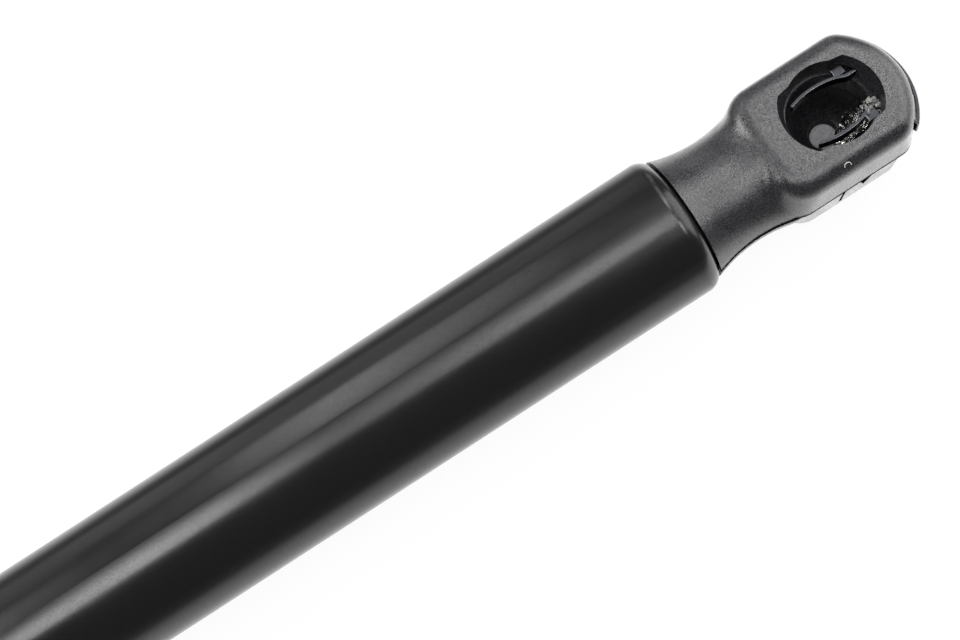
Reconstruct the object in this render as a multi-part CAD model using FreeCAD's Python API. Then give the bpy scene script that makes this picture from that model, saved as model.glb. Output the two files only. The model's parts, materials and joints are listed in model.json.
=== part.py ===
# Tailgate gas strut: a sealed steel tube, a plated rod with its damping piston, and a moulded ball socket
# with a spring clip on each end. Millimetres. The origin is the centre of the ball seat at the tube end,
# +X runs along the strut to the rod end and +Z points out of the mouths of both sockets.
# The strut is drawn fully extended, as it is when the tailgate stands open.
import FreeCAD, Part
import math
import os

V = FreeCAD.Vector
ORIGIN = V(0, 0, 0)
X_AXIS = V(1, 0, 0)
Y_AXIS = V(0, 1, 0)
Z_AXIS = V(0, 0, 1)

# Strut
TUBE_D = 18.0
TUBE_WALL = 1.2
TUBE_LENGTH = 205.0
TUBE_CORNER = 2.2            # outer radius of the rolled-in ends
CORNER_CHAMFER_SHARE = 0.7   # of a rolled end's inner radius, which the plug and the guide clear
ROD_D = 8.0
STROKE = 150.0
ROD_LEFT_OUT = 6.0           # rod still in view between tube and socket when the strut is closed
THREAD_D = 8.0               # both sockets screw onto an 8 mm thread
THREAD_ENGAGED = 10.6
THREAD_CLEARANCE = 0.05
THREAD_CHAMFER = 0.8
SLIDING_FIT = 0.04           # radial gap of the rod in what guides and wipes it
SEAT_FIT = 0.05              # radial gap of what sits in the tube or on a spigot
SOCKET_GAP = 0.1             # between the tube's rolled end and the socket's face

# Bead rolled into the tube, which holds the guide pack and stops the piston
BEAD_DEPTH = 0.7
BEAD_OUTER_HALF = 1.6
BEAD_INNER_HALF = 1.1
PISTON_STOP_GAP = 0.3

# End plug with its threaded stud
PLUG_LENGTH = 8.0
PLUG_BOSS_D = 9.6
PLUG_HOLE_CLEARANCE = 0.2
ORING_D = 1.8                # cord section of both rubber rings
ORING_GROOVE_PLAY = 0.5

# Guide pack at the rod end, from the rolled end inwards
GUIDE_LENGTH = 7.8
GUIDE_HOLE_CLEARANCE = 0.6
BUSH_WALL = 0.75
BUSH_SETBACK = 0.3
WIPER_WALL = 1.5
WIPER_LENGTH = 1.6
WIPER_PLAY = 0.1
WIPER_LIP = 0.5
BACKUP_LENGTH = 1.2
BACKUP_CLEARANCE = 0.15
SEAL_LENGTH = 3.4
SEAL_GROOVE_DEPTH = 1.8
SEAL_LIP = 1.0
SEAL_WASHER_LENGTH = 1.0
SEAL_WASHER_CLEARANCE = 0.3

# Piston, from the rod's shoulder inwards
SPIGOT_D = 5.2
SUPPORT_WASHER_D = 13.8
SUPPORT_WASHER_T = 1.2
PISTON_LENGTH = 7.5
PISTON_CLEARANCE = 0.3
PISTON_HOLE_D = 1.2
PISTON_HOLES = 4
PISTON_HOLE_R = 4.6
RING_WIDTH = 2.4
RING_DEPTH = 1.5
RING_PLAY = 0.1
RING_SLIT = 0.4
VALVE_PLATE_D = 11.4
VALVE_PLATE_T = 0.6
NOZZLE_DISC_D = 13.6
NOZZLE_DISC_T = 0.8
NOZZLE_HOLE_D = 0.9
TAIL_WASHER_D = 8.8
TAIL_WASHER_T = 1.2
RIVET_HEAD_D = 6.8
RIVET_HEAD_T = 0.8

# Socket moulding: shank, neck and head
BALL_D = 10.0
BALL_CLEARANCE = 0.05
SOCKET_LENGTH = 20.6         # ball centre to the face that meets the strut
RIM_REACH = 0.25             # the face's rim reaches past it, over the tube's rounded end
RECESS_D = 14.6              # the flat of the face, and where the rim's slope ends
RECESS_RIM_D = 16.2
FLANGE_D = 16.5
NECK_WAIST_D = 14.46
NECK_WAIST_X = 14.8
NECK_FLATTENING = 1.15       # how much lower than wide the neck has become where it meets the head
NECK_SECTIONS = 9
NECK_BURIED_X = 8.4          # the neck ends inside the head, where it widens no more
NECK_BURIED_D = 15.7
FOOT_BLEND = 3.0             # where the neck runs into the head
THREAD_HOLE_END_X = 8.0
HEAD_HALF_WIDTH = 8.3
HEAD_HALF_HEIGHT = 7.2
HEAD_TIP = 9.9
HEAD_TIP_RADIUS = 10.0
PARTING_TIP_CORNER = 2.2     # corner of the tip at the parting plane, which grows rounder above and below
TOP_TIP_CORNER = 3.6
BOTTOM_TIP_CORNER = 3.6
HEAD_BACK_X = 12.6
HEAD_BACK_RADIUS = 40.0
HEAD_BACK_CORNER = 4.5
BACK_RAMP = 1.6              # the head's back slopes forward by this much on its way up and down
TOP_EDGE = 2.6
BOTTOM_EDGE = 2.0
UPPER_DRAFT = 0.35
LOWER_DRAFT = 1.0
PARTING_Z = 0.8              # of the mould's parting plane, above the ball's centre
PARTING_STEP = 0.15          # the lower mould half is that much smaller all round

# Ball seat and mouth
SEAT_SHELF = 0.15            # the seat ends that far below the clip's slots
SEAT_LEAD_IN = 0.3           # height of the slope round the seat's mouth
MOUTH_RADIUS = 6.2           # end arcs of the mouth, at the face
MOUTH_ROOT_RADIUS = 5.2      # the same arcs at the foot of their taper
MOUTH_TAPER_Z = 4.2
LIP_RADIUS = 5.35            # side lips of the mouth
LIP_HALF_ANGLE = 31.5        # degrees each side of the Y axis
MOUTH_CORNER_ANGLE = 43.5    # degrees from the X axis
POCKET_D = 3.8               # grease pocket in the floor of the seat, at its rim and at its floor
POCKET_FLOOR_D = 3.5
POCKET_DEPTH = 0.45
POCKET_X = -0.2
POCKET_Y = -0.8

# Marks of the mould on the sides of the lower half: a slit, a V notch and a step towards the tip
SIDE_SLIT_X = 3.0
SIDE_SLIT_WIDTH = 0.45
SIDE_SLIT_HEIGHT = 5.2
SIDE_NOTCH_X = 0.1
SIDE_NOTCH_WIDTH = 2.4
SIDE_NOTCH_HEIGHT = 3.5
SIDE_MARK_DEPTH = 1.1
SIDE_STEP_X = -4.4
SIDE_STEP = 0.45

# Spring clip: a band round the tip, a riser on each side and two legs across the mouth
CLIP_T = 0.35
CLIP_CLEARANCE = 0.15
LEG_Z = 3.9
LEG_HEIGHT = 1.6
LEG_END_X = 3.35
LEG_END_Y = 2.85
LEG_BOW_X = 0.6
LEG_BOW_Y = 3.35
LEG_THROAT_X = -2.75
LEG_THROAT_Y = 2.9
LEG_KNEE_X = -3.9
RISER_X = -6.1
RISER_Y = 2.4
RISER_HALF_LENGTH = 0.5
BAND_Z = 1.8
BAND_HEIGHT = 2.0
BAND_GAP = 0.1               # between the band and the tip
BAND_HALF_ANGLE = 42.0       # degrees each side of the tip
LUG_LENGTH = 1.4
LUG_END_Y = 3.9
LUG_HEIGHT = 0.5

# Worked out from the values above
TUBE_R = TUBE_D / 2
BORE_R = TUBE_R - TUBE_WALL
INNER_CORNER = TUBE_CORNER - TUBE_WALL
CORNER_CHAMFER = CORNER_CHAMFER_SHARE * INNER_CORNER
ROD_R = ROD_D / 2
THREAD_R = THREAD_D / 2
SEAT_R = BALL_D / 2 + BALL_CLEARANCE
FLANGE_X = SOCKET_LENGTH + RIM_REACH
TUBE_X0 = SOCKET_LENGTH + SOCKET_GAP
TUBE_X1 = TUBE_X0 + TUBE_LENGTH
ROD_SOCKET_FACE_X = TUBE_X1 + ROD_LEFT_OUT + STROKE
ROD_BALL_X = ROD_SOCKET_FACE_X + SOCKET_LENGTH
FITTED_R = BORE_R - SEAT_FIT
ORING_R = ORING_D / 2
ORING_CENTRE_R = FITTED_R - ORING_R
ORING_INNER_R = ORING_CENTRE_R - ORING_R
GUIDE_X1 = TUBE_X1 - TUBE_WALL
GUIDE_X0 = GUIDE_X1 - GUIDE_LENGTH
BACKUP_X0 = GUIDE_X0 - BACKUP_LENGTH
SEAL_X0 = BACKUP_X0 - SEAL_LENGTH
SEAL_WASHER_X0 = SEAL_X0 - SEAL_WASHER_LENGTH
BEAD_X = SEAL_WASHER_X0 - BEAD_INNER_HALF
SHOULDER_X = BEAD_X - BEAD_INNER_HALF - PISTON_STOP_GAP
PISTON_X1 = SHOULDER_X - SUPPORT_WASHER_T
PISTON_X0 = PISTON_X1 - PISTON_LENGTH
PISTON_R = BORE_R - PISTON_CLEARANCE
RING_X0 = (PISTON_X0 + PISTON_X1 - RING_WIDTH) / 2
RING_OUTER_R = BORE_R - SEAT_FIT
RING_INNER_R = RING_OUTER_R - RING_DEPTH
VALVE_PLATE_X0 = PISTON_X0 - VALVE_PLATE_T
NOZZLE_DISC_X0 = VALVE_PLATE_X0 - NOZZLE_DISC_T
TAIL_WASHER_X0 = NOZZLE_DISC_X0 - TAIL_WASHER_T
ROD_X0 = TAIL_WASHER_X0 - RIVET_HEAD_T
SPIGOT_R = SPIGOT_D / 2
SPIGOT_HOLE_R = SPIGOT_R + SEAT_FIT
TIP_CENTRE_X = HEAD_TIP_RADIUS - HEAD_TIP
LEG_TOP = LEG_Z + LEG_HEIGHT
SEAT_TOP_Z = LEG_Z - CLIP_CLEARANCE - SEAT_SHELF
BAND_TOP = BAND_Z + BAND_HEIGHT
BAND_RADIUS = HEAD_TIP_RADIUS + BAND_GAP + CLIP_T / 2
OUTSIDE = 1.0                # how far a cutting solid reaches past the face that it cuts
TOLERANCE = 0.001


def rod_along_x(x0, x1, radius):
    return Part.makeCylinder(radius, x1 - x0, V(x0, 0, 0), X_AXIS)


def ring(x0, x1, inner_radius, outer_radius):
    return rod_along_x(x0, x1, outer_radius).cut(rod_along_x(x0 - OUTSIDE, x1 + OUTSIDE, inner_radius))


def box(x0, x1, y0, y1, z0, z1):
    return Part.makeBox(x1 - x0, y1 - y0, z1 - z0, V(x0, y0, z0))


def on_both_sides(shape):
    return shape.fuse(shape.mirror(ORIGIN, Y_AXIS))


def turned(edges):
    # A closed outline in the XZ plane, turned about the strut's axis
    return Part.Face(Part.Wire(edges)).revolve(ORIGIN, X_AXIS, 360)


def outline_edges(points):
    corners = [V(x, 0, r) for x, r in points]
    return [Part.makeLine(a, b) for a, b in zip(corners, corners[1:] + corners[:1])]


def arc(a, b, c):
    return Part.Arc(a, b, c).toShape()


def rounded_corner(centre_x, centre_r, radius, from_angle, to_angle):
    # A quarter arc in the XZ plane, with its angles in degrees from the X axis
    turns = [math.radians(from_angle + (to_angle - from_angle) * part) for part in (0, 0.5, 1)]
    a, b, c = [V(centre_x + radius * math.cos(t), 0, centre_r + radius * math.sin(t)) for t in turns]
    return arc(a, b, c)


# Pressure tube

def pressure_tube():
    plug_hole_r = PLUG_BOSS_D / 2 + PLUG_HOLE_CLEARANCE
    rod_hole_r = ROD_R + GUIDE_HOLE_CLEARANCE
    x0_in = TUBE_X0 + TUBE_WALL
    x1_in = TUBE_X1 - TUBE_WALL
    left_x = TUBE_X0 + TUBE_CORNER
    right_x = TUBE_X1 - TUBE_CORNER
    corner_r = TUBE_R - TUBE_CORNER
    groove = arc(
        V(BEAD_X - BEAD_OUTER_HALF, 0, TUBE_R),
        V(BEAD_X, 0, TUBE_R - BEAD_DEPTH),
        V(BEAD_X + BEAD_OUTER_HALF, 0, TUBE_R),
    )
    ridge = arc(
        V(BEAD_X + BEAD_INNER_HALF, 0, BORE_R),
        V(BEAD_X, 0, BORE_R - BEAD_DEPTH),
        V(BEAD_X - BEAD_INNER_HALF, 0, BORE_R),
    )
    edges = [
        Part.makeLine(V(TUBE_X0, 0, plug_hole_r), V(TUBE_X0, 0, corner_r)),
        rounded_corner(left_x, corner_r, TUBE_CORNER, 180, 90),
        Part.makeLine(V(left_x, 0, TUBE_R), V(BEAD_X - BEAD_OUTER_HALF, 0, TUBE_R)),
        groove,
        Part.makeLine(V(BEAD_X + BEAD_OUTER_HALF, 0, TUBE_R), V(right_x, 0, TUBE_R)),
        rounded_corner(right_x, corner_r, TUBE_CORNER, 90, 0),
        Part.makeLine(V(TUBE_X1, 0, corner_r), V(TUBE_X1, 0, rod_hole_r)),
        Part.makeLine(V(TUBE_X1, 0, rod_hole_r), V(x1_in, 0, rod_hole_r)),
        Part.makeLine(V(x1_in, 0, rod_hole_r), V(x1_in, 0, corner_r)),
        rounded_corner(right_x, corner_r, INNER_CORNER, 0, 90),
        Part.makeLine(V(right_x, 0, BORE_R), V(BEAD_X + BEAD_INNER_HALF, 0, BORE_R)),
        ridge,
        Part.makeLine(V(BEAD_X - BEAD_INNER_HALF, 0, BORE_R), V(left_x, 0, BORE_R)),
        rounded_corner(left_x, corner_r, INNER_CORNER, 90, 180),
        Part.makeLine(V(x0_in, 0, corner_r), V(x0_in, 0, plug_hole_r)),
        Part.makeLine(V(x0_in, 0, plug_hole_r), V(TUBE_X0, 0, plug_hole_r)),
    ]
    return turned(edges)


# End plug: a disc with a rubber ring in its groove, a boss through the rolled end and a stud

def groove_ends(x0, x1):
    middle = (x0 + x1) / 2
    half = (ORING_D + ORING_GROOVE_PLAY) / 2
    return middle - half, middle + half


def end_plug():
    x0 = TUBE_X0 + TUBE_WALL
    x1 = x0 + PLUG_LENGTH
    g0, g1 = groove_ends(x0, x1)
    groove_r = ORING_INNER_R - SEAT_FIT
    points = [
        (SOCKET_LENGTH - THREAD_ENGAGED, 0),
        (SOCKET_LENGTH - THREAD_ENGAGED, THREAD_R - THREAD_CLEARANCE - THREAD_CHAMFER),
        (SOCKET_LENGTH - THREAD_ENGAGED + THREAD_CHAMFER, THREAD_R - THREAD_CLEARANCE),
        (SOCKET_LENGTH, THREAD_R - THREAD_CLEARANCE),
        (SOCKET_LENGTH, PLUG_BOSS_D / 2),
        (x0, PLUG_BOSS_D / 2),
        (x0, FITTED_R - CORNER_CHAMFER),
        (x0 + CORNER_CHAMFER, FITTED_R),
        (g0, FITTED_R),
        (g0, groove_r),
        (g1, groove_r),
        (g1, FITTED_R),
        (x1, FITTED_R),
        (x1, 0),
    ]
    return turned(outline_edges(points))


def rubber_ring(x0, x1):
    return Part.makeTorus(ORING_CENTRE_R, ORING_R, V((x0 + x1) / 2, 0, 0), X_AXIS)


def end_plug_o_ring():
    x0 = TUBE_X0 + TUBE_WALL
    return rubber_ring(x0, x0 + PLUG_LENGTH)


# Guide pack at the rod end

def bush_span():
    wiper_seat_x = GUIDE_X1 - WIPER_LENGTH - 2 * WIPER_PLAY
    return GUIDE_X0 + BUSH_SETBACK, wiper_seat_x - BUSH_SETBACK


def rod_guide():
    bush_x0, bush_x1 = bush_span()
    bush_r = ROD_R + SLIDING_FIT + BUSH_WALL
    hole_r = ROD_R + SEAT_FIT + SEAT_FIT
    wiper_r = ROD_R + SLIDING_FIT + WIPER_WALL + SEAT_FIT
    wiper_seat_x = GUIDE_X1 - WIPER_LENGTH - 2 * WIPER_PLAY
    g0, g1 = groove_ends(GUIDE_X0, wiper_seat_x)
    groove_r = ORING_INNER_R - SEAT_FIT
    points = [
        (GUIDE_X0, hole_r),
        (GUIDE_X0, FITTED_R),
        (g0, FITTED_R),
        (g0, groove_r),
        (g1, groove_r),
        (g1, FITTED_R),
        (GUIDE_X1 - CORNER_CHAMFER, FITTED_R),
        (GUIDE_X1, FITTED_R - CORNER_CHAMFER),
        (GUIDE_X1, wiper_r),
        (wiper_seat_x, wiper_r),
        (wiper_seat_x, hole_r),
        (bush_x1, hole_r),
        (bush_x1, bush_r),
        (bush_x0, bush_r),
        (bush_x0, hole_r),
    ]
    return turned(outline_edges(points))


def guide_bush():
    bush_x0, bush_x1 = bush_span()
    return ring(bush_x0, bush_x1, ROD_R + SLIDING_FIT, ROD_R + SLIDING_FIT + BUSH_WALL)


def guide_o_ring():
    return rubber_ring(GUIDE_X0, GUIDE_X1 - WIPER_LENGTH - 2 * WIPER_PLAY)


def rod_wiper():
    # A rubber ring whose lip points outwards along the rod
    inner_r = ROD_R + SLIDING_FIT
    outer_r = inner_r + WIPER_WALL
    x1 = GUIDE_X1 - WIPER_PLAY
    x0 = x1 - WIPER_LENGTH
    points = [
        (x0, inner_r + WIPER_LIP),
        (x0, outer_r),
        (x1 - WIPER_LIP, outer_r),
        (x1 - WIPER_LIP, inner_r + WIPER_LIP),
        (x1, inner_r),
        (x1 - WIPER_LENGTH / 2, inner_r),
    ]
    return turned(outline_edges(points))


def seal_backup_ring():
    return ring(BACKUP_X0, GUIDE_X0, ROD_R + BACKUP_CLEARANCE, FITTED_R)


def rod_seal():
    # The groove between the two lips faces the gas, which presses the lips on to the rod and the tube
    inner_r = ROD_R + SLIDING_FIT
    groove_x = SEAL_X0 + SEAL_GROOVE_DEPTH
    points = [
        (SEAL_X0, inner_r),
        (SEAL_X0, inner_r + SEAL_LIP),
        (groove_x, (inner_r + FITTED_R) / 2),
        (SEAL_X0, FITTED_R - SEAL_LIP),
        (SEAL_X0, FITTED_R),
        (BACKUP_X0, FITTED_R),
        (BACKUP_X0, inner_r),
    ]
    return turned(outline_edges(points))


def seal_washer():
    return ring(SEAL_WASHER_X0, SEAL_X0, ROD_R + SEAL_WASHER_CLEARANCE, FITTED_R)


# Rod and piston

def piston_rod():
    socket_end_x = ROD_SOCKET_FACE_X + THREAD_ENGAGED
    thread_r = THREAD_R - THREAD_CLEARANCE
    points = [
        (ROD_X0, 0),
        (ROD_X0, RIVET_HEAD_D / 2),
        (TAIL_WASHER_X0, RIVET_HEAD_D / 2),
        (TAIL_WASHER_X0, SPIGOT_R),
        (SHOULDER_X, SPIGOT_R),
        (SHOULDER_X, ROD_R),
        (ROD_SOCKET_FACE_X, ROD_R),
        (ROD_SOCKET_FACE_X, thread_r),
        (socket_end_x - THREAD_CHAMFER, thread_r),
        (socket_end_x, thread_r - THREAD_CHAMFER),
        (socket_end_x, 0),
    ]
    return turned(outline_edges(points))


def piston_support_washer():
    return ring(PISTON_X1, SHOULDER_X, SPIGOT_HOLE_R, SUPPORT_WASHER_D / 2)


def piston_body():
    body = ring(PISTON_X0, PISTON_X1, SPIGOT_HOLE_R, PISTON_R)
    groove_r = RING_INNER_R - SEAT_FIT
    body = body.cut(ring(RING_X0 - RING_PLAY, RING_X0 + RING_WIDTH + RING_PLAY, groove_r, TUBE_R))
    for hole in range(PISTON_HOLES):
        turn = 2 * math.pi * hole / PISTON_HOLES
        centre = V(PISTON_X0 - OUTSIDE, PISTON_HOLE_R * math.cos(turn), PISTON_HOLE_R * math.sin(turn))
        body = body.cut(Part.makeCylinder(PISTON_HOLE_D / 2, PISTON_LENGTH + 2 * OUTSIDE, centre, X_AXIS))
    return body


def piston_ring():
    # Split, so that it can spring into its groove
    whole = ring(RING_X0, RING_X0 + RING_WIDTH, RING_INNER_R, RING_OUTER_R)
    half = RING_SLIT / 2
    slit = box(RING_X0 - OUTSIDE, RING_X0 + RING_WIDTH + OUTSIDE, -half, half, 0, TUBE_R)
    return whole.cut(slit)


def valve_plate():
    return ring(VALVE_PLATE_X0, PISTON_X0, SPIGOT_HOLE_R, VALVE_PLATE_D / 2)


def nozzle_disc():
    disc = ring(NOZZLE_DISC_X0, VALVE_PLATE_X0, SPIGOT_HOLE_R, NOZZLE_DISC_D / 2)
    hole_r = (VALVE_PLATE_D + NOZZLE_DISC_D) / 4
    start = V(NOZZLE_DISC_X0 - OUTSIDE, 0, hole_r)
    return disc.cut(Part.makeCylinder(NOZZLE_HOLE_D / 2, NOZZLE_DISC_T + 2 * OUTSIDE, start, X_AXIS))


def tail_washer():
    return ring(TAIL_WASHER_X0, NOZZLE_DISC_X0, SPIGOT_HOLE_R, TAIL_WASHER_D / 2)


# Socket moulding

def rounded_end(centre_x, end_radius, corner_radius, half_width, direction):
    # Tangent points of an end arc and its corner on the +Y side; direction is -1 for the tip, +1 for the back
    corner_y = half_width - corner_radius
    corner_x = centre_x + direction * math.sqrt((end_radius - corner_radius) ** 2 - corner_y ** 2)
    slope = math.atan2(corner_y, direction * (corner_x - centre_x))
    on_arc = V(centre_x + direction * end_radius * math.cos(slope), end_radius * math.sin(slope), 0)
    halfway = (slope + math.pi / 2) / 2
    on_corner = V(
        corner_x + direction * corner_radius * math.cos(halfway),
        corner_y + corner_radius * math.sin(halfway),
        0,
    )
    on_side = V(corner_x, half_width, 0)
    return on_arc, on_corner, on_side


def head_outline(inset, tip_corner, ramp, z):
    # The head seen from above, drawn smaller by inset all round and shorter by ramp at the back
    half_width = HEAD_HALF_WIDTH - inset
    tip = V(-HEAD_TIP + inset, 0, 0)
    back = V(HEAD_BACK_X - ramp - inset, 0, 0)
    back_centre_x = HEAD_BACK_X - ramp - HEAD_BACK_RADIUS
    t_arc, t_corner, t_side = rounded_end(
        TIP_CENTRE_X, HEAD_TIP_RADIUS - inset, tip_corner, half_width, -1
    )
    b_arc, b_corner, b_side = rounded_end(
        back_centre_x, HEAD_BACK_RADIUS - inset, HEAD_BACK_CORNER - inset, half_width, 1
    )

    def other(point):
        return V(point.x, -point.y, point.z)

    edges = [
        arc(other(t_arc), tip, t_arc),
        arc(t_arc, t_corner, t_side),
        Part.makeLine(t_side, b_side),
        arc(b_side, b_corner, b_arc),
        arc(b_arc, back, other(b_arc)),
        arc(other(b_arc), other(b_corner), other(b_side)),
        Part.makeLine(other(b_side), other(t_side)),
        arc(other(t_side), other(t_corner), other(t_arc)),
    ]
    wire = Part.Wire(edges)
    wire.translate(V(0, 0, z))
    return wire


def lies_at(edge, z):
    return abs(edge.BoundBox.ZMin - z) < TOLERANCE and abs(edge.BoundBox.ZMax - z) < TOLERANCE


def touches(shape, point):
    return shape.distToShape(Part.Vertex(point))[0] < TOLERANCE


def mould_half(parting_inset, draft, far_tip_corner, z, edge):
    # One half of the head, from the parting plane to its far face at z
    outlines = [
        head_outline(parting_inset, PARTING_TIP_CORNER, 0, PARTING_Z),
        head_outline(parting_inset + draft, far_tip_corner, BACK_RAMP, z),
    ]
    half = Part.makeLoft(outlines, True, True)
    return half.makeFillet(edge, [e for e in half.Edges if lies_at(e, z)])


def side_marks():
    # What is cut out of the lower half's side at +Y
    floor_y = HEAD_HALF_WIDTH - PARTING_STEP - SIDE_MARK_DEPTH
    outer_y = HEAD_HALF_WIDTH + OUTSIDE
    slit_end_z = PARTING_Z - SIDE_SLIT_HEIGHT
    slit = box(SIDE_SLIT_X, SIDE_SLIT_X + SIDE_SLIT_WIDTH, floor_y, outer_y, slit_end_z, PARTING_Z)
    corners = [
        V(SIDE_NOTCH_X - SIDE_NOTCH_WIDTH / 2, floor_y, PARTING_Z),
        V(SIDE_NOTCH_X + SIDE_NOTCH_WIDTH / 2, floor_y, PARTING_Z),
        V(SIDE_NOTCH_X, floor_y, PARTING_Z - SIDE_NOTCH_HEIGHT),
    ]
    notch = Part.Face(Part.makePolygon(corners + corners[:1])).extrude(V(0, outer_y - floor_y, 0))
    return slit.fuse(notch)


def half_space(x0, x1, z0, z1):
    wide = FLANGE_D
    return box(x0, x1, -wide, wide, z0, z1)


def upper_head():
    return mould_half(0, UPPER_DRAFT, TOP_TIP_CORNER, HEAD_HALF_HEIGHT, TOP_EDGE)


def lower_head():
    height = HEAD_HALF_HEIGHT
    wide = mould_half(PARTING_STEP, LOWER_DRAFT, BOTTOM_TIP_CORNER, -height, BOTTOM_EDGE)
    slim = mould_half(PARTING_STEP + SIDE_STEP, LOWER_DRAFT, BOTTOM_TIP_CORNER, -height, BOTTOM_EDGE)
    behind_step = half_space(SIDE_STEP_X, HEAD_BACK_X, -height, PARTING_Z)
    return slim.fuse(wide.common(behind_step)).cut(on_both_sides(side_marks()))


def neck_loft(inset):
    # Round where it meets the strut, waisted, and lower than wide where it runs into the head
    flange_r = FLANGE_D / 2
    waist_r = NECK_WAIST_D / 2
    flare = (flange_r - waist_r) / (FLANGE_X - NECK_WAIST_X) ** 2
    run = FLANGE_X - NECK_BURIED_X
    sections = []
    for step in range(NECK_SECTIONS):
        share = step / (NECK_SECTIONS - 1)
        x = FLANGE_X - run * share
        half_width = waist_r + flare * (x - NECK_WAIST_X) ** 2
        if x < NECK_WAIST_X:
            half_width = min(half_width, NECK_BURIED_D / 2)
        half_width -= inset
        half_height = half_width - NECK_FLATTENING * share
        if step == 0:
            curve = Part.Circle(V(x, 0, 0), X_AXIS, half_width)
        else:
            curve = Part.Ellipse(V(x, half_width, 0), V(x, 0, half_height), V(x, 0, 0))
        sections.append(Part.Wire([curve.toShape()]))
    return Part.makeLoft(sections, True, False)


def with_neck(head_half, inset, z0, z1):
    # The neck's half between z0 and z1, blended into that half of the head round its foot
    neck_half = neck_loft(inset).common(half_space(NECK_BURIED_X, FLANGE_X, z0, z1))
    body = head_half.fuse(neck_half).removeSplitter()
    head_skin = Part.makeCompound(head_half.Faces)
    neck_skin = Part.makeCompound(neck_half.Faces)
    foot = []
    for edge in body.Edges:
        middle = edge.valueAt((edge.FirstParameter + edge.LastParameter) / 2)
        if touches(head_skin, middle) and touches(neck_skin, middle) and not lies_at(edge, PARTING_Z):
            foot.append(edge)
    return body.makeFillet(FOOT_BLEND, foot)


def ball_seat():
    # Half a ball with a straight belt above it, and a slope from the belt to the mouth
    belt = Part.makeCylinder(SEAT_R, SEAT_TOP_Z, ORIGIN, Z_AXIS)
    slope_foot = V(0, 0, SEAT_TOP_Z - SEAT_LEAD_IN)
    slope = Part.makeCone(SEAT_R, MOUTH_ROOT_RADIUS, SEAT_LEAD_IN, slope_foot, Z_AXIS)
    gallery = Part.makeCylinder(MOUTH_ROOT_RADIUS, MOUTH_TAPER_Z - SEAT_TOP_Z, V(0, 0, SEAT_TOP_Z), Z_AXIS)
    return Part.makeSphere(SEAT_R, ORIGIN).fuse([belt, slope, gallery])


def mouth():
    # End arcs that widen upwards, and two upright lips at the sides with a ramp up to each corner
    top = HEAD_HALF_HEIGHT
    widening = (MOUTH_RADIUS - MOUTH_ROOT_RADIUS) / (top - MOUTH_TAPER_Z)
    height = top + OUTSIDE - MOUTH_TAPER_Z
    upper_radius = MOUTH_ROOT_RADIUS + widening * height
    cone = Part.makeCone(MOUTH_ROOT_RADIUS, upper_radius, height, V(0, 0, MOUTH_TAPER_Z), Z_AXIS)
    corner = math.radians(MOUTH_CORNER_ANGLE)
    lip = math.radians(90 - LIP_HALF_ANGLE)
    reach = MOUTH_RADIUS + widening * OUTSIDE
    wide = reach / math.cos(corner)
    corner_point = V(MOUTH_RADIUS * math.cos(corner), MOUTH_RADIUS * math.sin(corner), 0)
    lip_point = V(LIP_RADIUS * math.cos(lip), LIP_RADIUS * math.sin(lip), 0)
    outward = V(wide * math.cos(corner), wide * math.sin(corner), 0)
    quarter = [V(wide, 0, 0), outward, corner_point, lip_point]
    upper_left = [V(-p.x, p.y, 0) for p in reversed(quarter)]
    lower_half = [V(-p.x, -p.y, 0) for p in quarter + upper_left]
    points = quarter + upper_left + lower_half
    distinct = [p for p, q in zip(points, points[1:] + points[:1]) if p.distanceToPoint(q) > TOLERANCE]
    sector = Part.Face(Part.makePolygon(distinct + distinct[:1]))
    sector.translate(V(0, 0, MOUTH_TAPER_Z))
    ends = cone.common(sector.extrude(V(0, 0, height)))
    lips = Part.makeCylinder(LIP_RADIUS, top + OUTSIDE - SEAT_TOP_Z, V(0, 0, SEAT_TOP_Z), Z_AXIS)
    return ends.fuse(lips)


def grease_pocket():
    rim_r = POCKET_D / 2
    rim_z = -math.sqrt(SEAT_R ** 2 - rim_r ** 2)
    flare = (rim_r - POCKET_FLOOR_D / 2) / POCKET_DEPTH
    height = POCKET_DEPTH + OUTSIDE
    floor = V(POCKET_X, POCKET_Y, rim_z - POCKET_DEPTH)
    return Part.makeCone(POCKET_FLOOR_D / 2, POCKET_FLOOR_D / 2 + flare * height, height, floor, Z_AXIS)


def clip_slots():
    # Room for the clip, along the whole way that it is drawn out
    c = CLIP_CLEARANCE
    half_t = CLIP_T / 2
    front = -HEAD_TIP - OUTSIDE
    inner_y = RISER_Y - half_t - c
    outer_y = LUG_END_Y + c
    legs = box(front, LEG_END_X + half_t + c, inner_y, outer_y, LEG_Z - c, LEG_TOP + c)
    riser_back = RISER_X + RISER_HALF_LENGTH + half_t + c
    risers = box(front, riser_back, inner_y, RISER_Y + half_t + c, BAND_Z - c, LEG_TOP + c)
    band_end_y = BAND_RADIUS * math.sin(math.radians(BAND_HALF_ANGLE)) + half_t + c
    pockets = box(front, riser_back, inner_y, band_end_y, BAND_Z - c, BAND_TOP + c)
    return on_both_sides(legs.fuse(risers).fuse(pockets))


def face_recess():
    slope = (RECESS_RIM_D - RECESS_D) / 2 / RIM_REACH
    height = RIM_REACH + OUTSIDE
    return Part.makeCone(RECESS_D / 2, RECESS_D / 2 + slope * height, height, V(SOCKET_LENGTH, 0, 0), X_AXIS)


def socket():
    upper = with_neck(upper_head(), 0, PARTING_Z, FLANGE_D)
    lower = with_neck(lower_head(), PARTING_STEP, -FLANGE_D, PARTING_Z)
    body = upper.fuse(lower).cut(face_recess())
    hole = rod_along_x(THREAD_HOLE_END_X, FLANGE_X + OUTSIDE, THREAD_R)
    seat = ball_seat().fuse([mouth(), grease_pocket()])
    return body.cut(seat).cut(hole).cut(clip_slots())


# Spring clip

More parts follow.
